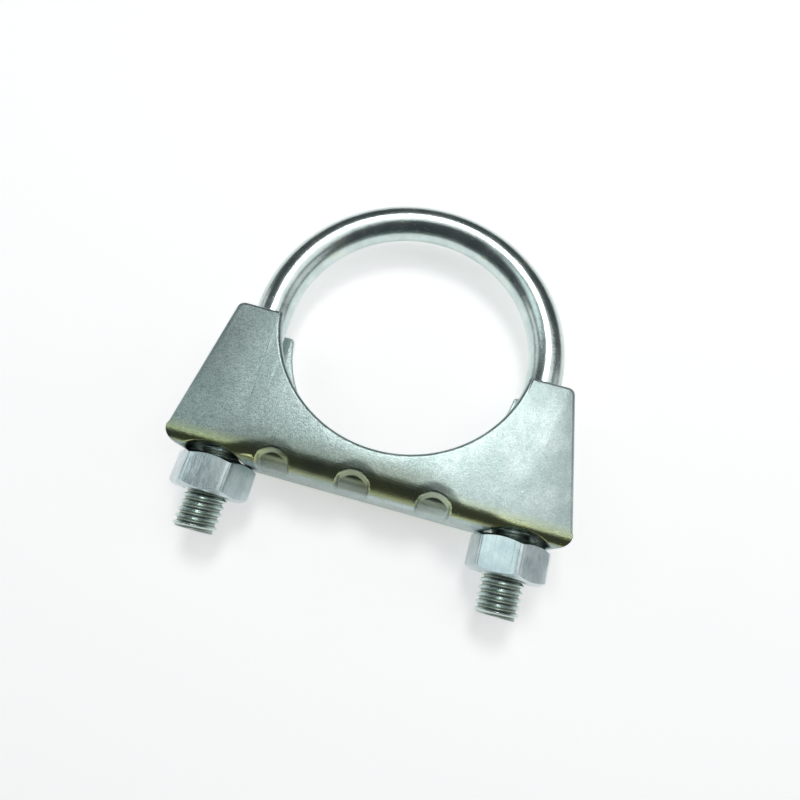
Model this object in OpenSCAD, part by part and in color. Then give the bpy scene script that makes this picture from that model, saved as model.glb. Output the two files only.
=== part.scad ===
// Saddle clamp for a round pipe: a threaded U-bolt, a pressed sheet saddle and two hex nuts.
// Millimetres. X runs across the two legs, Y points at the crown of the U, Z is the pipe's axis.
// The origin is on the pipe's axis, midway between the saddle's two walls.

/* [Pipe] */
// Outside diameter of the gripped pipe
pipe_d = 48; // [36:0.5:60]
// Radial play between the pipe and the rod at the crown when the clamp is closed
crown_play = 0.1; // [0.1:0.05:1]

/* [U-bolt] */
// Diameter of the plain rod
rod_d = 7.1; // [5.9:0.1:7.6]
// Major diameter of the thread
thread_d = 7.9; // [6.6:0.1:9.5]
// Depth of the thread on the rod, measured on the radius
thread_depth = 0.7; // [0.5:0.05:0.85]
// Pitch of the thread
thread_pitch = 1.25; // [1:0.05:1.5]
// Length of thread above each nut
thread_above_nut = 14.8; // [11:0.1:19]
// Length of leg that stands out past each nut
leg_past_nut = 6.7; // [5:0.1:9]

/* [Saddle] */
// Room between the thread and each wall
channel_play = 1.45; // [1:0.05:2.5]
// Thickness of the sheet
sheet_t = 2.2; // [1.8:0.1:2.6]
// Outer radius of the two long bends
bend_r = 3.2; // [2.6:0.1:4]
// Distance from the bottom of the pipe to the outer face of the web
web_below_pipe = 8.1; // [6.8:0.1:10]
// How far the tips of the horns stay below the pipe's axis
horn_below_axis = 3.4; // [2:0.1:8]
// Sheet outside the rod at the tip of each horn
horn_side = 1; // [0.8:0.1:2]
// Distance from each leg's axis to the end of the saddle
base_side = 9.1; // [8:0.1:11]
// Radius of the outer corners of the horns
horn_corner_r = 1.4; // [1:0.1:2]
// Radius of the lower corners of the walls
base_corner_r = 3; // [2:0.1:4]
// Radial play of each leg in its hole
leg_hole_play = 0.55; // [0.3:0.05:0.9]

/* [Pressed features] */
// Height of the arch that is pressed across the web at each leg
arch_rise = 1.7; // [1.4:0.1:2.2]
// How far that arch reaches past the leg hole on each side
arch_side = 1; // [0.6:0.1:1.4]
// Radius of each half-moon dent in the front bend
dent_r = 3; // [2.4:0.1:3.6]
// How far each dent goes into the wall
dent_depth = 1.8; // [1.2:0.1:2.2]
// How far each dent lifts the web
dent_lift = 0.6; // [0.3:0.1:0.9]
// How far each dent reaches across the web from the front face
dent_reach = 8.6; // [7:0.1:11]
// Distance from the left leg's axis to the first dent
dent_from_left_leg = 10.9; // [10:0.1:13]
// Distance from the right leg's axis to the last dent
dent_from_right_leg = 15.2; // [10:0.1:17]
// Height of the middle of each dent above the web
dent_above_web = 0.8; // [0.5:0.1:1.2]
// Sheet left round the inside of each dent
dent_wall = 1.2; // [0.8:0.1:1.6]

/* [Nuts] */
// Width across the flats of each nut
nut_af = 13; // [12:0.1:14.6]
// Height of each nut
nut_h = 6.5; // [5.4:0.1:7.8]
// Radial play between a nut's bore and the crests of the thread
nut_play = 0.05; // [0.02:0.01:0.09]
// Gap between each nut and the web
nut_gap = 0.05; // [0.02:0.01:0.1]
// How far the left nut is turned about its leg, in degrees
nut_left_turn = -3; // [-30:1:30]
// How far the right nut is turned about its leg, in degrees
nut_right_turn = 24; // [-30:1:30]

/* [Hidden] */
$fn = 72;
seat_fn = 180;
pipe_r = pipe_d / 2;
rod_r = rod_d / 2;
crest_r = thread_d / 2;
root_r = crest_r - thread_depth;
leg_x = pipe_r + crown_play + rod_r;
leg_hole_r = crest_r + leg_hole_play;

web_y = -(pipe_r + web_below_pipe);
least_inner_r = 0.4;
inner_r = max(bend_r - sheet_t, least_inner_r);
half_depth = crest_r + channel_play + sheet_t;
saddle_depth = 2 * half_depth;
horn_half_w = leg_x + rod_r + horn_side;
base_half_w = leg_x + base_side;
horn_y = -horn_below_axis;
// The channel is drawn up to just past the pipe's axis; the wall's outline cuts it
wall_top_y = 2;

nut_top_y = web_y - nut_gap;
leg_end_y = nut_top_y - nut_h - leg_past_nut;
thread_l = leg_past_nut + nut_h + nut_gap + thread_above_nut;
// Lean of the thread's flanks, in degrees
flank_angle = 30;
// Width of a crest, length before the first root and least length after the last crest, in pitches
crest_share = 1 / 8;
lead_share = 0.2;
end_share = 0.3;
// How much thinner than the roots the very end of a leg is
end_thinning = 0.1;

bore_r = crest_r + nut_play;
countersink = 0.35;
nut_chamfer_slope = 30;
// Radius of the flat ring on each end of a nut, as a part of the width across its flats
nut_face_share = 0.475;

// The arch is part of a circle through the web at both of its sides.
arch_half_w = leg_hole_r + arch_side;
arch_r = (pow(arch_half_w, 2) + pow(arch_rise, 2)) / (2 * arch_rise);
arch_y = web_y + arch_rise - arch_r;

dent_y = web_y + dent_above_web;
dent_start_z = half_depth - dent_reach;
first_dent_x = dent_from_left_leg - leg_x;
last_dent_x = leg_x - dent_from_right_leg;
dent_xs = [first_dent_x, (first_dent_x + last_dent_x) / 2, last_dent_x];
// Overlap that makes the cutting shapes pass clean through
past = 1;

// Outline of one threaded leg, as radius and distance from the start of the thread.
function thread_outline(length) =
    let (turns = floor(length / thread_pitch - end_share), lead_in = lead_share * thread_pitch,
         flank = thread_depth * tan(flank_angle), flat = crest_share * thread_pitch,
         root = thread_pitch - 2 * flank - flat)
    concat(
        [[0, -past], [rod_r, -past], [rod_r, 0]],
        [for (i = [0:turns - 1])
            let (z = i * thread_pitch + lead_in)
            each [[root_r, z], [root_r, z + root], [crest_r, z + root + flank],
                  [crest_r, z + root + flank + flat]]],
        [[root_r, turns * thread_pitch + lead_in], [root_r - end_thinning, length], [0, length]]);

// One straight leg, standing on the pipe's centre plane and pointing at its threaded end.
module leg() {
    plain_l = -leg_end_y - thread_l;
    rotate([90, 0, 0]) {
        cylinder(r = rod_r, h = plain_l);
        translate([0, 0, plain_l])
            rotate_extrude() polygon(thread_outline(thread_l));
    }
}

module u_bolt() {
    color([0.78, 0.81, 0.82]) {
        rotate_extrude(angle = 180) translate([leg_x, 0]) circle(r = rod_r);
        for (side = [-1, 1]) translate([side * leg_x, 0, 0]) leg();
    }
}

// Centre of the circle that rounds the corner at b, between the edges to a and c.
function corner_centre(a, b, c, r) =
    let (u = (a - b) / norm(a - b), v = (c - b) / norm(c - b), w = u + v)
    b + w / norm(w) * r / sin(acos(u * v) / 2);

// A polygon whose convex corners are rounded with true arcs; radii of 0 stay sharp.
module rounded_polygon(points, radii) {
    n = len(points);
    corners = [for (i = [0:n - 1]) if (radii[i] > 0) i];
    difference() {
        polygon(points);
        for (i = corners) {
            a = points[(i + n - 1) % n];
            b = points[i];
            c = points[(i + 1) % n];
            u = (a - b) / norm(a - b);
            v = (c - b) / norm(c - b);
            reach = radii[i] / tan(acos(u * v) / 2);
            away = (u + v) / norm(u + v);
            polygon([b + u * reach, b - away, b + v * reach, corner_centre(a, b, c, radii[i])]);
        }
    }
    for (i = corners)
        translate(corner_centre(points[(i + n - 1) % n], points[i], points[(i + 1) % n], radii[i]))
            circle(r = radii[i]);
}

// Front view of the saddle's walls: a trapezium that widens from the horns to the web.
module wall_outline() {
    difference() {
        rounded_polygon(
            [[-base_half_w, web_y], [base_half_w, web_y], [horn_half_w, horn_y], [-horn_half_w, horn_y]],
            [base_corner_r, base_corner_r, horn_corner_r, horn_corner_r]);
        circle(r = pipe_r, $fn = seat_fn);
    }
}

// End view of a channel: height along the first axis, depth along the second.
module channel_section(half_w, corner_r, bottom) {
    translate([bottom + corner_r, -half_w]) square([wall_top_y - bottom - corner_r, 2 * half_w]);
    translate([bottom, corner_r - half_w]) square([2 * corner_r, 2 * (half_w - corner_r)]);
    for (side = [-1, 1])
        translate([bottom + corner_r, side * (half_w - corner_r)]) circle(r = corner_r);
}

// A filled channel drawn out along X, longer than the saddle.
module channel_bar(half_w, corner_r, bottom) {
    bar_l = 2 * base_half_w + 2 * past;
    translate([-bar_l / 2, 0, 0]) rotate([90, 0, 90])
        linear_extrude(bar_l) channel_section(half_w, corner_r, bottom);
}

module outer_bar() {
    channel_bar(half_depth, bend_r, web_y);
}

module inner_bar() {
    channel_bar(half_depth - sheet_t, inner_r, web_y + sheet_t);
}

// The outside of the sheet where a dent has moved it inwards.
module dented_place() {
    translate([0, dent_lift, -dent_depth]) children();
}

// A round bar along Z, centred on the saddle's depth.
module z_bar(x, y, r, l) {
    translate([x, y, -l / 2]) cylinder(r = r, h = l);
}

// A round bar along Z that stands in the front half only.
module front_bar(x, y, r) {
    translate([x, y, dent_start_z]) cylinder(r = r, h = saddle_depth);
}

// Sheet before any metal is pressed outwards or cut away, with its arches and dents added inside.
module pressed_sheet() {
    difference() {
        outer_bar();
        inner_bar();
    }
    for (side = [-1, 1]) intersection() {
        outer_bar();
        z_bar(side * leg_x, arch_y, arch_r + sheet_t, saddle_depth - sheet_t);
    }
    for (x = dent_xs) intersection() {
        front_bar(x, dent_y, dent_r + dent_wall);
        dented_place() difference() {
            outer_bar();
            inner_bar();
        }
    }
}

module saddle() {
    color([0.60, 0.65, 0.64]) difference() {
        intersection() {
            linear_extrude(saddle_depth, center = true) wall_outline();
            pressed_sheet();
        }
        for (side = [-1, 1]) {
            z_bar(side * leg_x, arch_y, arch_r, saddle_depth + 2 * past);
            translate([side * leg_x, 0, 0]) rotate([90, 0, 0]) cylinder(r = leg_hole_r, h = past - web_y);
        }
        for (x = dent_xs) difference() {
            front_bar(x, dent_y, dent_r);
            dented_place() outer_bar();
        }
    }
}

// Hex nut with chamfered ends, standing on its lower face.
module nut() {
    corner_r = nut_af / sqrt(3);
    face_r = nut_face_share * nut_af;
    drop = (corner_r + past - face_r) * tan(nut_chamfer_slope);
    difference() {
        intersection() {
            cylinder(r = corner_r, h = nut_h, $fn = 6);
            rotate_extrude() polygon([[0, 0], [face_r, 0], [corner_r + past, drop],
                [corner_r + past, nut_h - drop], [face_r, nut_h], [0, nut_h]]);
        }
        translate([0, 0, -past]) cylinder(r = bore_r, h = nut_h + 2 * past);
        for (end = [0, 1]) translate([0, 0, end * nut_h]) mirror([0, 0, end])
            cylinder(r1 = bore_r + countersink, r2 = bore_r, h = countersink);
    }
}

// A nut on one leg, pressed up to the web.
module placed_nut(side, turn) {
    translate([side * leg_x, nut_top_y, 0]) rotate([90, -turn, 0]) nut();
}

module nut_left() {
    color([0.83, 0.86, 0.87]) placed_nut(-1, nut_left_turn);
}

module nut_right() {
    color([0.83, 0.86, 0.87]) placed_nut(1, nut_right_turn);
}

u_bolt();
saddle();
nut_left();
nut_right();
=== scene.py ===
"""A saddle clamp for a round pipe: bright zinc-plated U-bolt, pressed sheet saddle and two hex nuts."""

import math

import bmesh
import bpy
from mathutils import Euler, Matrix, Vector


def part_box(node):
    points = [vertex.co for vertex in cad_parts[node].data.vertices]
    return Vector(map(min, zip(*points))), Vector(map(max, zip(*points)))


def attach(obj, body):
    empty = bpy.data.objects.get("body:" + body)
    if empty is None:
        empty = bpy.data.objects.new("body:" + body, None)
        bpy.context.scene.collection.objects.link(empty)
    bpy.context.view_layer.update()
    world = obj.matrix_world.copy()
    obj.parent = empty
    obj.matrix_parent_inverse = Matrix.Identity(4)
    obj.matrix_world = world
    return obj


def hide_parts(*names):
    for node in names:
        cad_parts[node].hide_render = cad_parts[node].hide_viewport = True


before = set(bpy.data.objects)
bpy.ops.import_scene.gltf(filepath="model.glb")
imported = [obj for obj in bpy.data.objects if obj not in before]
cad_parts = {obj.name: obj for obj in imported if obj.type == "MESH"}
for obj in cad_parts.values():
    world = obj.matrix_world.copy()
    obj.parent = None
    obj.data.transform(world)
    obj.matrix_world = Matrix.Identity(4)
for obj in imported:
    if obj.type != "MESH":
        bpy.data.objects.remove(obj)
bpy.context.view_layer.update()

MM = 0.001

# Sizes of the clamp, in metres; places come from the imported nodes.
saddle_low, saddle_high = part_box("saddle")
bolt_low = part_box("u_bolt")[0]
nut_low, nut_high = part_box("nut_left")
right_low, right_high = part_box("nut_right")
pipe_r = 24.0 * MM
rod_r = 3.55 * MM
crest_r = 3.95 * MM
root_r = 3.25 * MM
pitch = 1.25 * MM
leg_x = (right_low.x + right_high.x) / 2
leg_end_y = bolt_low.y
thread_length = 28.05 * MM
thread_top_y = leg_end_y + thread_length
thread_start_y = leg_end_y - 1.6 * pitch
sheet_t = 2.2 * MM
bend_r = 3.2 * MM
half_depth = saddle_high.z
web_y = saddle_low.y
horn_y = saddle_high.y
base_half_w = 36.75 * MM
horn_half_w = 32.2 * MM
nut_af = 13.0 * MM
nut_top_y = nut_high.y
nut_h = nut_high.y - nut_low.y
nut_foot_y = nut_top_y - nut_h
hole_r = 4.5 * MM
base_corner_r = 3.0 * MM
horn_corner_r = 1.4 * MM
left_nut_turn, right_nut_turn = -3, 24  # degrees at which each nut was left

# How finely the metal is cut and joined.
cut_tolerance = 1e-7
close = 0.01 * MM
seam_gap = 0.001 * MM
weld_gap = 0.0002 * MM


def deselect_all():
    if bpy.context.mode != "OBJECT":
        bpy.ops.object.mode_set(mode="OBJECT")
    bpy.ops.object.select_all(action="DESELECT")


def only(piece):
    deselect_all()
    piece.select_set(True)
    bpy.context.view_layer.objects.active = piece
    return piece


def edit(piece):
    only(piece)
    bpy.ops.object.mode_set(mode="EDIT")
    bpy.ops.mesh.select_mode(type="VERT")
    bpy.ops.mesh.select_all(action="SELECT")


def leave_edit():
    bpy.ops.object.mode_set(mode="OBJECT")
    return bpy.context.object


def choose(kind, test):
    """Selects the faces, edges or vertices of the mesh being edited that pass a test of place or normal."""
    bpy.ops.mesh.select_mode(type=kind)
    bpy.ops.mesh.select_all(action="DESELECT")
    mesh = bpy.context.object.data
    shape = bmesh.from_edit_mesh(mesh)
    for item in {"FACE": shape.faces, "EDGE": shape.edges, "VERT": shape.verts}[kind]:
        if test(item):
            item.select_set(True)
    shape.select_flush_mode()
    bmesh.update_edit_mesh(mesh)


def middle(edge):
    return (edge.verts[0].co + edge.verts[1].co) / 2


def along(edge, axis):
    run = edge.verts[1].co - edge.verts[0].co
    return abs(run[axis]) > 0.999 * run.length


def apply_place(piece):
    only(piece)
    bpy.ops.object.transform_apply(location=True, rotation=True, scale=True)
    return piece


def apply_modifier(piece, kind, **settings):
    only(piece)
    modifier = piece.modifiers.new(kind.title(), kind)
    for name, value in settings.items():
        setattr(modifier, name, value)
    bpy.ops.object.modifier_apply(modifier=modifier.name)
    return piece


def combine(piece, tool, operation):
    """Joins, cuts or overlaps two closed shapes, and uses the tool up."""
    apply_modifier(piece, "BOOLEAN", operation=operation, object=tool, solver="MANIFOLD")
    bpy.data.objects.remove(tool)
    return piece


def outward(piece):
    edit(piece)
    bpy.ops.mesh.remove_doubles(threshold=weld_gap)
    bpy.ops.mesh.select_all(action="SELECT")
    bpy.ops.mesh.normals_make_consistent(inside=False)
    leave_edit()
    return piece


def drawn_line(name, points):
    """A line of edges, drawn by extruding one vertex from point to point."""
    deselect_all()
    bpy.ops.mesh.primitive_plane_add(size=MM, location=points[0])
    piece = apply_place(bpy.context.object)
    piece.name = name
    edit(piece)
    bpy.ops.mesh.merge(type="CENTER")
    for here, there in zip(points, points[1:]):
        bpy.ops.mesh.extrude_vertices_move(
            TRANSFORM_OT_translate={"value": Vector(there) - Vector(here)}
        )
    return leave_edit()


def turned(name, profile, steps=96):
    """A solid of revolution about Y, from (radius, y) points that start and end on the axis."""
    piece = drawn_line(name, [(radius, y, 0) for radius, y in profile])
    apply_modifier(
        piece, "SCREW", axis="Y", angle=2 * math.pi, steps=steps, render_steps=steps,
        use_merge_vertices=True, merge_threshold=seam_gap,
    )
    return outward(piece)


def screwed(name, profile, turns, start_y, steps=64):
    """A right-hand screw surface about Y: one pitch of thread wound up the axis."""
    piece = drawn_line(name, [(radius, start_y + y, 0) for radius, y in profile])
    apply_modifier(
        piece, "SCREW", axis="Y", angle=2 * math.pi, screw_offset=pitch, iterations=turns, steps=steps,
        render_steps=steps, use_merge_vertices=False,
    )
    edit(piece)
    bpy.ops.mesh.remove_doubles(threshold=seam_gap)
    leave_edit()
    return piece


def trimmed(piece, y, keep):
    """Cuts an open screw surface square to its axis and closes the cut."""
    edit(piece)
    bpy.ops.mesh.bisect(
        plane_co=(0, y, 0), plane_no=(0, 1, 0), use_fill=True, threshold=cut_tolerance,
        clear_outer=keep == "below", clear_inner=keep == "above"
    )
    leave_edit()
    return piece


def thread_profile(grow=0.0):
    half = [(0.0, 3.25), (0.12, 3.27), (0.2, 3.36), (0.5, 3.87), (0.56, 3.93), (0.625, 3.95)]
    rise = [((r + grow) * MM, s * MM) for s, r in half]
    fall = [(r, pitch - s) for r, s in reversed(rise[:-1])]
    return rise + fall


# The U-bolt ------------------------------------------------------------------------------------


def bolt_shank():
    """The bent rod: a ring of wire swept half round, with straight legs that taper into the thread's core."""
    deselect_all()
    bpy.ops.mesh.primitive_circle_add(
        vertices=64, radius=rod_r, fill_type="NOTHING", location=(leg_x, 0, 0), rotation=(math.pi / 2, 0, 0)
    )
    piece = apply_place(bpy.context.object)
    piece.name = "u_bolt_rod"
    edit(piece)
    bpy.ops.mesh.spin(steps=144, angle=math.pi, center=(0, 0, 0), axis=(0, 0, -1))
    shape = bmesh.from_edit_mesh(piece.data)
    if max(v.co.y for v in shape.verts) < 10 * MM:
        raise RuntimeError("the rod was bent the wrong way")
    choose("VERT", lambda v: abs(v.co.y) < seam_gap)
    neck_y = thread_top_y - 0.3 * MM
    taper_run, core_run, core_share = 1.4 * MM, 1.5 * MM, 0.86
    bpy.ops.mesh.extrude_region_move(TRANSFORM_OT_translate={"value": (0, neck_y, 0)})
    bpy.ops.mesh.extrude_region_move(TRANSFORM_OT_translate={"value": (0, -taper_run, 0)})
    leave_edit()
    for side in (-1, 1):
        edit(piece)
        choose("VERT", lambda v: v.co.y < neck_y - 1.0 * MM and v.co.x * side > 0)
        bpy.ops.transform.resize(
            value=(core_share, 1, core_share), center_override=(side * leg_x, neck_y - taper_run, 0)
        )
        bpy.ops.mesh.extrude_region_move(TRANSFORM_OT_translate={"value": (0, -core_run, 0)})
        bpy.ops.mesh.edge_face_add()
        leave_edit()
    return outward(piece)


def leg_thread(side):
    """One leg's thread, chamfered at the tip and fading out into the rod at its top."""
    tip_r, clear_r, neck_r = 3.2 * MM, 4.1 * MM, 3.4 * MM
    stop_y = thread_top_y + 0.5 * MM
    piece = screwed("leg_thread", thread_profile(), 25, thread_start_y)
    trimmed(piece, leg_end_y, "above")
    trimmed(piece, thread_top_y + 0.8 * MM, "below")
    outward(piece)
    envelope = turned(
        "leg_envelope",
        [
            (0, leg_end_y - MM),
            (tip_r, leg_end_y - MM),
            (tip_r, leg_end_y + 0.02 * MM),
            (clear_r, leg_end_y + 0.75 * MM),
            (clear_r, thread_top_y - 1.6 * MM),
            (neck_r, stop_y),
            (0, stop_y),
        ],
    )
    combine(piece, envelope, "INTERSECT")
    edit(piece)
    bpy.ops.transform.translate(value=(side * leg_x, 0, 0))
    leave_edit()
    return piece


def make_bolt():
    piece = bolt_shank()
    for side in (-1, 1):
        combine(piece, leg_thread(side), "UNION")
    piece.name = "u_bolt_threaded"
    return piece


# The nuts --------------------------------------------------------------------------------------


def nut_spool(name, end_r, face_r, middle_r, drop):
    """A turned shape a little longer than the nut: one radius past its faces, one at them, one between."""
    low, top = nut_foot_y, nut_top_y
    half = [(0, low - MM), (end_r, low - MM), (face_r, low), (middle_r, low + drop)]
    return turned(name, half + [(middle_r, top - drop), (face_r, top), (end_r, top + MM), (0, top + MM)])


def nut_blank():
    """A chamfered hexagon standing along Y with its top face on the nut's top, before it is tapped."""
    corner_r = nut_af / math.sqrt(3)
    deselect_all()
    bpy.ops.mesh.primitive_cylinder_add(
        vertices=6, radius=corner_r, depth=nut_h, rotation=(0, 0, math.pi / 6)
    )
    piece = apply_place(bpy.context.object)
    edit(piece)
    choose("EDGE", lambda e: along(e, 2))
    bpy.ops.mesh.bevel(offset=0.6 * MM, segments=4, affect="EDGES")
    leave_edit()
    piece.rotation_euler = (math.pi / 2, 0, 0)
    piece.location = (0, nut_top_y - nut_h / 2, 0)
    apply_place(piece)
    face_r, rim_r = 6.1 * MM, 8.2 * MM
    drop = (rim_r - face_r) * math.tan(math.radians(30))
    combine(piece, nut_spool("nut_cone", face_r, face_r, rim_r, drop), "INTERSECT")
    return piece


def nut_tap():
    """The thread cut in a nut: the leg's own thread with a little play, some whole turns further up."""
    play, turns_up = 0.05, 4
    piece = screwed("nut_tap", thread_profile(play), 13, thread_start_y + turns_up * pitch)
    trimmed(piece, nut_foot_y - MM, "above")
    trimmed(piece, nut_top_y + MM, "below")
    return outward(piece)


def make_nut(name, blank, side, turn):
    deselect_all()
    piece = blank.copy()
    piece.data = blank.data.copy()
    piece.name = name
    bpy.context.scene.collection.objects.link(piece)
    piece.rotation_euler = (0, -math.radians(turn), 0)
    apply_place(piece)
    combine(piece, nut_tap(), "DIFFERENCE")
    mouth_r, inner_r, mouth_drop = 4.4 * MM, 3.1 * MM, 1.3 * MM
    combine(piece, nut_spool("nut_mouth", mouth_r + MM, mouth_r, inner_r, mouth_drop), "DIFFERENCE")
    edit(piece)
    bpy.ops.transform.translate(value=(side * leg_x, 0, 0))
    leave_edit()
    return piece


# The saddle ------------------------------------------------------------------------------------

arch_rise = 1.7 * MM
arch_half_w = hole_r + 1.0 * MM
arch_r = (arch_half_w**2 + arch_rise**2) / (2 * arch_rise)
arch_y = web_y + arch_rise - arch_r
dent_r = 3.0 * MM
dent_y = web_y + 0.8 * MM
dent_xs = [-16.75 * MM, -2.15 * MM, 12.45 * MM]
dent_depth = 1.8 * MM
dent_lift = 0.6 * MM
dent_reach = 4.3 * MM
dent_slice = 0.18 * MM
first_dent_force = 0.72
tight_bend_r = 2.35 * MM
loose_bend_r = 4.5 * MM


def smooth(value, start, end):
    t = min(max((value - start) / (end - start), 0), 1)
    return t * t * (3 - 2 * t)


def slice_zone(axis, start, end, step):
    """Cuts what is shown of the mesh being edited with a row of planes."""
    off_the_edges = 0.0137 * MM
    count = max(1, round(abs(end - start) / step))
    normal = [0, 0, 0]
    normal[axis] = 1
    for i in range(count + 1):
        place = [0, 0, 0]
        place[axis] = start + (end - start) * i / count + off_the_edges
        bpy.ops.mesh.select_all(action="SELECT")
        bpy.ops.mesh.bisect(plane_co=place, plane_no=normal, threshold=cut_tolerance)


def press(piece, name, direction, amount, share):
    """Moves the metal along one axis, by an amount times a share that depends on place."""
    least_share = 0.0005
    group = piece.vertex_groups.new(name=name)
    for vertex in piece.data.vertices:
        weight = share(vertex.co)
        if weight > least_share:
            group.add([vertex.index], weight, "REPLACE")
    apply_modifier(piece, "DISPLACE", direction=direction, strength=amount, mid_level=0, vertex_group=name)
    piece.vertex_groups.remove(piece.vertex_groups[name])


def bend_angle(point):
    """How far round a bend a point of the outer skin is: 0 on the wall, a quarter turn on the web."""
    across = web_y + bend_r - point.y
    out = abs(point.z) - half_depth + bend_r
    if across < -close or out < -close:
        return None
    return math.atan2(max(across, 0), max(out, 0))


def bend_change(piece, side, change, share_along):
    """Gives one long bend another radius, by as much of the change as its share along the saddle."""

    def out_share(point):
        angle = bend_angle(point)
        return 0 if angle is None or side * point.z < 0 else share_along(point.x) * (1 - math.cos(angle))

    def down_share(point):
        angle = bend_angle(point)
        return 0 if angle is None or side * point.z < 0 else share_along(point.x) * (1 - math.sin(angle))

    before = [vertex.co.copy() for vertex in piece.data.vertices]
    shares = {tuple(co): (out_share(co), down_share(co)) for co in before}
    press(piece, "bend_out", "Z", -side * change, lambda p: shares[tuple(p)][0])
    moved = {tuple(vertex.co): shares[tuple(co)][1] for vertex, co in zip(piece.data.vertices, before)}
    press(piece, "bend_down", "Y", change, lambda p: moved[tuple(p)])


def near_leg(x):
    return smooth(abs(x), leg_x - 7 * MM, leg_x - 1.5 * MM)


def among_dents(x):
    return smooth(x, -26 * MM, -20 * MM) * (1 - smooth(x, 11 * MM, 19 * MM))


def sheet_channel():
    """The folded strip, longer than the saddle: a trough with two round bends, tighter beside the legs and
    softer in front where the dents pull the metal in."""
    top_y = 2 * MM
    deselect_all()
    bpy.ops.mesh.primitive_cube_add(size=1, location=(0, (web_y + top_y) / 2, 0))
    piece = bpy.context.object
    piece.scale = (2 * base_half_w + 4 * MM, top_y - web_y, 2 * half_depth)
    apply_place(piece)
    edit(piece)
    choose("EDGE", lambda e: along(e, 0) and middle(e).y < web_y + MM)
    bpy.ops.mesh.bevel(offset=bend_r, segments=16, affect="EDGES")
    choose("FACE", lambda f: abs(f.normal.x) > 0.9 or f.normal.y > 0.9)
    bpy.ops.mesh.delete(type="FACE")
    for side in (-1, 1):
        slice_zone(0, side * (leg_x - 17 * MM), side * (leg_x - 1.5 * MM), 0.5 * MM)
    leave_edit()
    for side in (-1, 1):
        bend_change(piece, side, tight_bend_r - bend_r, near_leg)
    bend_change(piece, 1, loose_bend_r - bend_r, among_dents)
    return apply_modifier(piece, "SOLIDIFY", thickness=sheet_t, offset=-1, use_even_offset=True)


def corner_cut(radius, lean):
    """How far back from a corner its rounding starts, where one side leans in from square."""
    return radius / math.tan((math.pi / 2 + lean) / 2)


def blank_outline():
    """The saddle seen from the front, as a thick block: a taper with round corners and the pipe's seat."""
    low_y = web_y - 0.03 * MM
    lean = math.atan((base_half_w - horn_half_w) / (horn_y - web_y))
    deselect_all()
    bpy.ops.mesh.primitive_cube_add(size=1, location=(0, (low_y + horn_y) / 2, 0))
    piece = bpy.context.object
    piece.scale = (2 * base_half_w, horn_y - low_y, 2 * half_depth + 4 * MM)
    apply_place(piece)
    edit(piece)
    choose("VERT", lambda v: v.co.y > horn_y - MM)
    bpy.ops.transform.resize(value=(horn_half_w / base_half_w, 1, 1), center_override=(0, 0, 0))
    choose("EDGE", lambda e: along(e, 2) and middle(e).y < web_y + MM)
    bpy.ops.mesh.bevel(offset=corner_cut(base_corner_r, -lean), segments=12, affect="EDGES")
    choose("EDGE", lambda e: along(e, 2) and middle(e).y > horn_y - MM)
    bpy.ops.mesh.bevel(offset=corner_cut(horn_corner_r, lean), segments=8, affect="EDGES")
    leave_edit()
    deselect_all()
    bpy.ops.mesh.primitive_cylinder_add(vertices=288, radius=pipe_r, depth=4 * half_depth)
    combine(piece, bpy.context.object, "DIFFERENCE")
    edit(piece)
    seat_corner_x = math.sqrt(pipe_r**2 - horn_y**2)

    def is_seat_corner(edge):
        point = middle(edge)
        at_corner = abs(abs(point.x) - seat_corner_x) < 0.1 * MM
        return along(edge, 2) and abs(point.y - horn_y) < close and at_corner

    choose("EDGE", is_seat_corner)
    bpy.ops.mesh.bevel(offset=0.5 * MM, segments=4, affect="EDGES")
    return leave_edit()


def depth_in_sheet(point):
    """How deep a point of the unpressed trough lies under its outer skin."""
    if point.y > web_y + bend_r:
        return half_depth - abs(point.z)
    if abs(point.z) < half_depth - bend_r:
        return point.y - web_y
    return bend_r - math.hypot(point.y - web_y - bend_r, abs(point.z) - half_depth + bend_r)


def is_rim(edge, deep):
    """An edge between the cut rim and one skin of the sheet."""
    if len(edge.link_faces) != 2 or edge.calc_face_angle() < math.radians(35):
        return False
    depth = depth_in_sheet(middle(edge))
    return depth > 0.7 * sheet_t if deep else depth < 0.3 * sheet_t


def arch_bar(side, radius, length):
    deselect_all()
    bpy.ops.mesh.primitive_cylinder_add(
        vertices=192, radius=radius, depth=length, location=(side * leg_x, arch_y, 0)
    )
    return apply_place(bpy.context.object)


def is_arch_edge(edge):
    if len(edge.link_faces) != 2 or edge.calc_face_angle() < math.radians(9):
        return False
    point = middle(edge)
    return abs(math.hypot(abs(point.x) - leg_x, point.y - arch_y) - arch_r) < 0.02 * MM


def press_arches(piece):
    """Lifts the web in an arch across each leg, with the metal's thickness kept inside."""
    hump_foot_y = web_y + 1.1 * MM
    for side in (-1, 1):
        hump = arch_bar(side, arch_r + sheet_t, 2 * half_depth - sheet_t)
        edit(hump)
        bpy.ops.mesh.bisect(
            plane_co=(0, hump_foot_y, 0), plane_no=(0, 1, 0), use_fill=True,
            threshold=cut_tolerance, clear_inner=True,
        )
        leave_edit()
        combine(piece, hump, "UNION")
        combine(piece, arch_bar(side, arch_r, 3 * half_depth), "DIFFERENCE")
    edit(piece)
    choose("EDGE", is_arch_edge)
    bpy.ops.mesh.bevel(offset=0.22 * MM, segments=3, affect="EDGES")
    leave_edit()


def front_share(z):
    return smooth(z, -1.5 * MM, 3.5 * MM)


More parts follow.
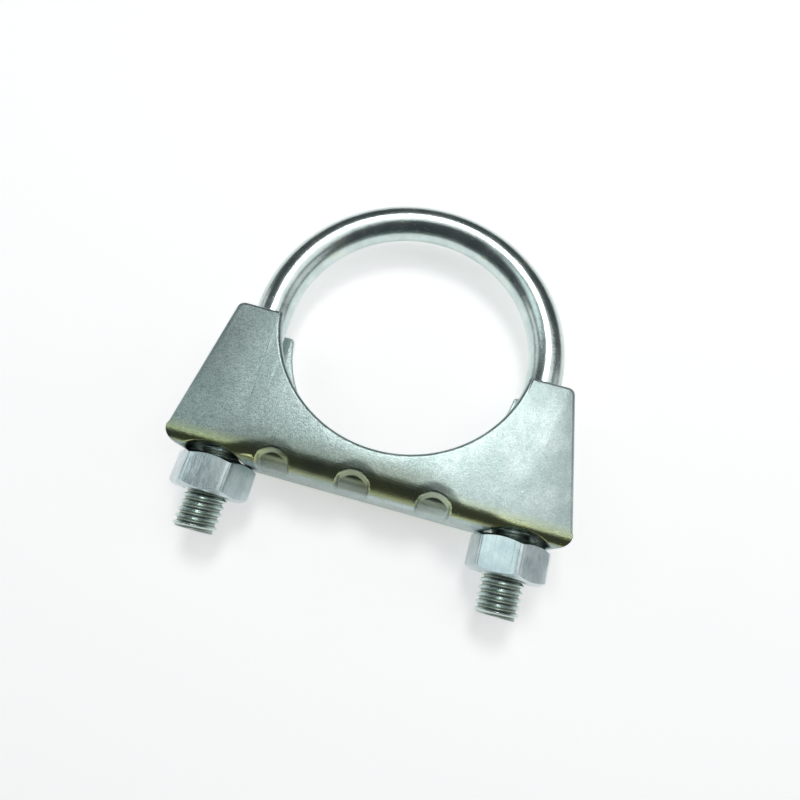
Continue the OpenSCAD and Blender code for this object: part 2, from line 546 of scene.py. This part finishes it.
def dent_in_share(point):
    """The punch's half-moon: a rounded ledge at its top and sharp sides; the first blow was the softest."""
    deep = min(max(depth_in_sheet(point) / sheet_t, 0), 1)
    share = 0
    for x in dent_xs:
        away = math.hypot(point.x - x, max(point.y - dent_y, 0))
        edge_r = dent_r + (0.12 + 0.5 * deep) * MM
        height = min(max((point.y - dent_y) / dent_r, 0), 1)
        ledge = (0.4 + 0.95 * height + 0.5 * deep) * MM
        force = first_dent_force if x == dent_xs[0] else 1
        lip = 0.1 * height * (1 - smooth(away, edge_r - 0.2 * MM, edge_r + 1.7 * MM))
        share = max(share, force * (0.9 * (1 - smooth(away, edge_r - ledge, edge_r)) + lip))
    return share * front_share(point.z)


def dent_up_share(point):
    share = max(1 - smooth(abs(point.x - x), dent_r - 0.45 * MM, dent_r) for x in dent_xs)
    low = 1 - smooth(point.y, web_y + 1.0 * MM, web_y + 3.0 * MM)
    return share * low * front_share(point.z)


def press_dents(piece):
    """Three half-moon dents punched into the front bend, each with a ledge on top and creases in the web."""
    start_x, end_x, top_y = -21.6 * MM, 17.3 * MM, web_y + 5.8 * MM
    edit(piece)
    slice_zone(0, start_x, end_x, end_x - start_x)
    slice_zone(1, top_y, top_y, 1)

    def in_zone(face):
        point = face.calc_center_bounds()
        return start_x < point.x < end_x and point.y < top_y

    choose("FACE", in_zone)
    bpy.ops.mesh.hide(unselected=True)
    for x in dent_xs:
        slice_zone(0, x - dent_reach, x + dent_reach, dent_slice)
    slice_zone(1, web_y + 0.3 * MM, web_y + 5.6 * MM, dent_slice)
    slice_zone(2, -1.7 * MM, 4.3 * MM, 0.5 * MM)
    bpy.ops.mesh.reveal(select=False)
    leave_edit()
    press(piece, "dent_in", "Z", -dent_depth, dent_in_share)
    press(piece, "dent_up", "Y", dent_lift, dent_up_share)


def make_saddle():
    piece = sheet_channel()
    piece.name = "saddle_pressed"
    combine(piece, blank_outline(), "INTERSECT")
    edit(piece)
    outer_from_y, inner_from_y = web_y + 3.05 * MM, web_y + 5.6 * MM
    choose("EDGE", lambda e: is_rim(e, False) and middle(e).y > outer_from_y)
    bpy.ops.mesh.bevel(offset=0.7 * MM, segments=5, affect="EDGES", clamp_overlap=False)
    choose("EDGE", lambda e: is_rim(e, True) and middle(e).y > inner_from_y)
    bpy.ops.mesh.bevel(offset=0.25 * MM, segments=2, affect="EDGES", clamp_overlap=False)
    leave_edit()
    press_arches(piece)
    press_dents(piece)
    for side in (-1, 1):
        deselect_all()
        bpy.ops.mesh.primitive_cylinder_add(
            vertices=96, radius=hole_r, depth=12 * MM, location=(side * leg_x, web_y, 0),
            rotation=(math.pi / 2, 0, 0),
        )
        combine(piece, apply_place(bpy.context.object), "DIFFERENCE")
    return piece


# Finishes --------------------------------------------------------------------------------------


class Value:
    """One output of a node, so that shader maths reads like ordinary sums."""

    def __init__(self, finish, socket):
        self.finish = finish
        self.socket = socket

    def math(self, kind, *others):
        return self.finish.add("ShaderNodeMath", {"operation": kind}, [self, *others])

    def __add__(self, other):
        return self.math("ADD", other)

    def __sub__(self, other):
        return self.math("SUBTRACT", other)

    def __mul__(self, other):
        return self.math("MULTIPLY", other)

    def __truediv__(self, other):
        return self.math("DIVIDE", other)

    def __rsub__(self, other):
        return self.math("MULTIPLY", -1) + other

    def __pow__(self, other):
        return self.math("POWER", other)

    def __abs__(self):
        return self.math("ABSOLUTE")

    __radd__ = __add__
    __rmul__ = __mul__

    def between(self, low, high):
        """0 at low, 1 at high, eased in between."""
        settings = {"interpolation_type": "SMOOTHSTEP"}
        return self.finish.add("ShaderNodeMapRange", settings, [self, low, high])

    def level(self):
        return self.math("MAXIMUM", 0).math("MINIMUM", 1)


class Finish:
    """A procedural surface finish, built node by node on one principled shader."""

    def __init__(self, name):
        self.material = bpy.data.materials.new(name)
        self.material.use_nodes = True
        self.tree = self.material.node_tree
        self.shader = self.tree.nodes["Principled BSDF"]
        place = self.add("ShaderNodeTexCoord", {}, [], output="Object")
        self.place = self.add("ShaderNodeVectorMath", {"operation": "SCALE"}, {0: place, "Scale": 1000})
        split = self.add("ShaderNodeSeparateXYZ", {}, [self.place], output=None)
        self.x, self.y, self.z = (Value(self, socket) for socket in split.outputs)

    def add(self, kind, settings, inputs, output=0):
        """Makes a node: its settings first, then its inputs, given in order or by name."""
        node = self.tree.nodes.new(kind)
        for name, setting in settings.items():
            setattr(node, name, setting)
        pairs = inputs.items() if isinstance(inputs, dict) else enumerate(inputs)
        for name, value in pairs:
            self.plug(node.inputs[name], value)
        return node if output is None else Value(self, node.outputs[output])

    def plug(self, socket, value):
        if isinstance(value, Value):
            self.tree.links.new(value.socket, socket)
        else:
            socket.default_value = value

    def noise(self, scale, detail=2, stretch=(1, 1, 1), roughness=0.5):
        """Noise with features about 1 / scale millimetres across."""
        where = self.add("ShaderNodeVectorMath", {"operation": "MULTIPLY"}, [self.place, stretch])
        inputs = {"Vector": where, "Scale": scale, "Detail": detail, "Roughness": roughness}
        return self.add("ShaderNodeTexNoise", {}, inputs)

    def mix(self, share, first, second):
        inputs = {0: share, 6: first, 7: second}
        return self.add("ShaderNodeMix", {"data_type": "RGBA"}, inputs, output=2)

    def bump(self, height, depth, strength=1):
        inputs = {"Height": height, "Distance": depth * MM, "Strength": strength}
        return self.add("ShaderNodeBump", {}, inputs)

    def from_leg(self):
        """Distance from the nearer leg's axis, in millimetres."""
        out_of_leg = abs(self.x) - leg_x / MM
        return (out_of_leg * out_of_leg + self.z * self.z) ** 0.5

    def set(self, **inputs):
        for name, value in inputs.items():
            self.plug(self.shader.inputs[name.replace("_", " ")], value)
        return self.material


def colour(red, green, blue):
    return (red, green, blue, 1)


olive = colour(0.52, 0.585, 0.26)
# Painted shade for recesses: the thread roots and the nut's bore.
olive_recess_shade = colour(0.25, 0.29, 0.23)


def sheet_finish():
    """Satin zinc with a fine rolled grain, cloudy patches, faint scratches and a yellow tint in the bends;
    painted shade darkens the wall just above the front bend near the dents and towards the left end of the
    sheet.
    """
    sheet = Finish("satin_zinc_sheet")
    web, skin = web_y / MM, half_depth / MM
    grain = sheet.noise(4.6, 3, (1, 0.85, 1), 0.75) * 0.62 + sheet.noise(1.9, 4, roughness=0.8) * 0.38
    clouds = sheet.noise(0.16, 4, (1, 0.7, 1), 0.55)
    scratches = sheet.noise(1.1, 3, (1.6, 0.16, 1.6), 0.7).between(0.66, 0.8)
    specks = sheet.noise(1.3, 2).between(0.68, 0.78)
    low = 1 - sheet.y.between(web + 1.2, web + 4.6)
    off_web = sheet.y.between(web + 0.25, web + 0.8)
    bend = low * off_web * abs(sheet.z).between(skin - bend_r / MM - 0.8, skin - 0.4)
    near_dents = 1 - abs(sheet.x + 6).between(12, 27)
    # Painted shade: the wall darkens above the front bend near the dents, where the bend starts softly.
    painted_shade_over_bend = (1 - sheet.y.between(web + 3.2, web + 9)) * off_web * near_dents
    base = sheet.mix(clouds.between(0.36, 0.68), colour(0.44, 0.55, 0.53), colour(0.62, 0.735, 0.72))
    base = sheet.mix(painted_shade_over_bend * (clouds * 0.8 + 0.45).level(), base, colour(0.17, 0.19, 0.12))
    # Painted shade: the sheet darkens towards its left end, and its dark grain grows stronger there as well.
    shade_and_grain_to_left = 1 - sheet.x.between(-22, 20)
    base = sheet.mix(shade_and_grain_to_left * 0.42, base, colour(0.24, 0.31, 0.295))
    base = sheet.mix(grain.between(0.45, 0.56) * (shade_and_grain_to_left * 0.36 + 0.34), base, colour(0.15, 0.20, 0.185))
    base = sheet.mix(scratches * 0.3, base, colour(0.80, 0.84, 0.83))
    base = sheet.mix(specks * 0.35, base, colour(0.24, 0.26, 0.22))
    tint = bend * (clouds.between(0.2, 0.6) * 0.4 + 0.6 - near_dents * 0.2)
    base = sheet.mix(tint.level(), base, olive)
    rough = grain * 0.14 + clouds * 0.12 + 0.21 - bend * 0.12 - scratches * 0.08
    height = grain + clouds * 1.5
    return sheet.set(Base_Color=base, Metallic=1.0, Roughness=rough.level(), Normal=sheet.bump(height, 0.06))


def rod_finish():
    """Bright zinc on drawn rod: faint draw lines, a little haze, and painted olive shade down in the thread,
    where the zinc is also rougher.
    """
    rod = Finish("bright_zinc_rod")
    legs = 1 - rod.y.between(-1, 2)
    radius = rod.from_leg()
    threaded = 1 - rod.y.between(thread_top_y / MM - 0.5, thread_top_y / MM + 0.3)
    root = threaded * (1 - radius.between(root_r / MM, crest_r / MM - 0.12))
    haze = rod.noise(0.22, 4, roughness=0.6)
    fine = rod.noise(5, 2)
    draw = rod.noise(2.6, 1, (1, 0.06, 1)) * legs + rod.noise(2.2, 3) * (1 - legs)
    pits = rod.noise(1.1, 2).between(0.69, 0.76)
    base = rod.mix(haze.between(0.35, 0.7), colour(0.56, 0.66, 0.63), colour(0.70, 0.80, 0.79))
    base = rod.mix(pits * 0.4, base, colour(0.33, 0.35, 0.30))
    base = rod.mix(haze.between(0.52, 0.75) * 0.45, base, colour(0.66, 0.70, 0.50))
    # Painted shade down in the thread roots.
    base = rod.mix(root * 0.65, base, olive_recess_shade)
    rough = haze * 0.16 + fine * 0.08 + root * 0.16 + 0.12 + pits * 0.1
    height = draw + fine * 0.5 - pits * 0.3
    return rod.set(Base_Color=base, Metallic=1.0, Roughness=rough.level(), Normal=rod.bump(height, 0.022))


def nut_finish():
    """Bright zinc on hex bar: lines run along the bar on the flats, rings are turned on both ends."""
    nut = Finish("bright_zinc_nut")
    lines = nut.noise(3.2, 4, (1, 0.015, 1), 0.7)
    fine = nut.noise(6, 2, (1, 0.2, 1))
    clouds = nut.noise(0.3, 3)
    dark_lines = lines.between(0.56, 0.72)
    base = nut.mix(clouds.between(0.3, 0.7), colour(0.46, 0.55, 0.57), colour(0.62, 0.71, 0.72))
    base = nut.mix(dark_lines * 0.6, base, colour(0.26, 0.34, 0.37))
    radius = nut.from_leg()
    # Painted shade inside the tapped bore and its mouth.
    bore = 1 - radius.between(crest_r / MM + 0.1, crest_r / MM + 0.6)
    base = nut.mix(bore * 0.85, base, olive_recess_shade)
    rough = lines * 0.16 + clouds * 0.06 + 0.09
    height = lines * 1.3 + fine * 0.3
    return nut.set(Base_Color=base, Metallic=1.0, Roughness=rough.level(), Normal=nut.bump(height, 0.02))


def hand_over(piece, finish, body, node):
    only(piece)
    piece.data.materials.clear()
    piece.data.materials.append(finish)
    bpy.ops.object.shade_smooth_by_angle(angle=math.radians(38))
    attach(piece, body)
    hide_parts(node)


bolt = make_bolt()
blank = nut_blank()
left_nut = make_nut("nut_left_tapped", blank, -1, left_nut_turn)
right_nut = make_nut("nut_right_tapped", blank, 1, right_nut_turn)
bpy.data.objects.remove(blank)
saddle = make_saddle()
nut_plating = nut_finish()
hand_over(bolt, rod_finish(), "u_bolt", "u_bolt")
hand_over(saddle, sheet_finish(), "saddle", "saddle")
hand_over(left_nut, nut_plating, "nut_left", "nut_left")
hand_over(right_nut, nut_plating, "nut_right", "nut_right")

# Table, light and camera -----------------------------------------------------------------------

deselect_all()
bpy.ops.mesh.primitive_plane_add(size=3, location=(0, 0, saddle_low.z - 0.02 * MM))
table = bpy.context.object
table.name = "table"
white = Finish("white_table")
faint = white.noise(0.05, 2) * 0.02 + 0.9
white.set(
    Base_Color=white.mix(faint, colour(0.6, 0.6, 0.6), colour(0.93, 0.93, 0.93)),
    Roughness=0.7,
    Emission_Color=colour(1, 1, 1),
    Emission_Strength=0.52,
)
table.data.materials.append(white.material)

world = bpy.data.worlds.new("studio")
bpy.context.scene.world = world
world.use_nodes = True
sky = world.node_tree.nodes["Background"]
sky.inputs["Color"].default_value = colour(0.85, 0.93, 1)
sky.inputs["Strength"].default_value = 0.065


def softbox(name, place, aim, size, brightness, tint=(1, 1, 1)):
    data = bpy.data.lights.new(name, "AREA")
    data.shape = "RECTANGLE"
    data.size, data.size_y = size
    data.energy = brightness * math.pi * size[0] * size[1]
    data.color = tint
    lamp = bpy.data.objects.new(name, data)
    bpy.context.scene.collection.objects.link(lamp)
    lamp.location = place
    lamp.rotation_euler = (Vector(aim) - Vector(place)).to_track_quat("-Z", "Y").to_euler()
    return lamp


softbox("roof", (0.145, 0.1125, 0.45), (0.145, 0.1125, 0), (0.47, 0.295), 1.1)
softbox("key", (-0.02, 0.2, 0.44), (0, 0, 0), (0.14, 0.14), 9)
softbox("left_card", (-0.31, 0.03, 0.4), (0, 0, 0), (0.17, 0.3), 1.25, (0.9, 1, 1))
softbox("left_low_card", (-0.45, 0.05, 0.12), (0, 0, 0), (0.3, 0.16), 1.0)
softbox("right_card", (0.45, 0.05, 0.2), (0, 0, 0), (0.3, 0.3), 0.75)

# The camera looks down on the clamp from in front of the web; the first three numbers turn it away from
# straight down, the next three say where the origin lies in front of it, in millimetres.
view_turn = Euler([math.radians(angle) for angle in (-17.119, 3.001, 15.051)], "XYZ").to_matrix()
view_axes = view_turn @ Matrix(((1, 0, 0), (0, -1, 0), (0, 0, -1)))
origin_ahead = Vector((1.673, -11.328, 111.738)) * MM
camera_data = bpy.data.cameras.new("camera")
camera = bpy.data.objects.new("camera", camera_data)
bpy.context.scene.collection.objects.link(camera)
camera_axes = Matrix([view_axes[0], -view_axes[1], -view_axes[2]]).transposed()
camera.matrix_world = Matrix.Translation(-(view_axes.transposed() @ origin_ahead)) @ camera_axes.to_4x4()
camera_data.sensor_width = 36
camera_data.lens = 25.2
camera_data.clip_start = 0.01
bpy.context.scene.camera = camera
bpy.context.scene.view_settings.view_transform = "Standard"
